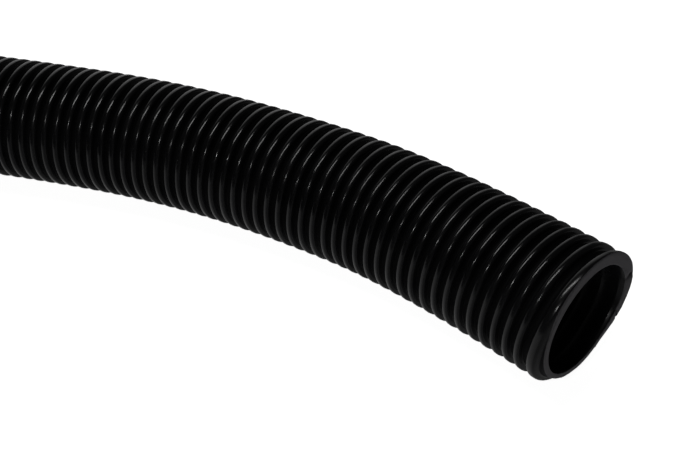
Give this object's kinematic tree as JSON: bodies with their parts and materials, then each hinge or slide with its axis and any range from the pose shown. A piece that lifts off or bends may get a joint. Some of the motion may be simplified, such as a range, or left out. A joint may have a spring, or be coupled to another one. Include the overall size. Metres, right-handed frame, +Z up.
{
  "type": "pool vacuum hose",
  "caption": "Spiral-ribbed suction hose with a plain cut end and a swivel cuff, its spare length coiled and tied.",
  "frame": {"origin": "on the floor under the middle of the whole object, with the coil, the cuff and the free end", "axes": "+Z up from the floor; +X from the coil towards the free cut end; +Y away from the side where the cuff points"},
  "size_m": [0.7967, 0.5807, 0.0972],
  "materials": {
    "hose": "gloss",
    "cuff": "satin",
    "cuff_turning": "satin",
    "seal": "matte",
    "webbing": "matte",
    "buckle": "satin"
  },
  "bodies": {
    "root": {"hose_coil": "hose", "hose_tail": "hose", "hose_lead": "hose", "hose_flex": "hose", "cuff_sleeve": "cuff", "strap_1": "webbing", "strap_2": "webbing", "strap_3": "webbing", "buckle_1": "buckle", "buckle_2": "buckle", "buckle_3": "buckle"},
    "free_end": {"hose_end": "hose", "hose_mouth": "hose"},
    "swivel": {"cuff_swivel": "cuff_turning", "cuff_ring": "cuff", "cuff_seal": "seal"}
  },
  "joints": [
    {"name": "free_end_bend", "type": "hinge", "parent": "root", "child": "free_end", "pos_m": [0.1825, 0.2576, 0.0235], "axis": [0, 0, 1], "range_deg": [-25, 30], "deforming": ["hose_flex"]},
    {"name": "cuff_swivel_turn", "type": "hinge", "parent": "root", "child": "swivel", "pos_m": [-0.3671, -0.206, 0.03], "axis": [0, -1, 0], "continuous": true}
  ]
}
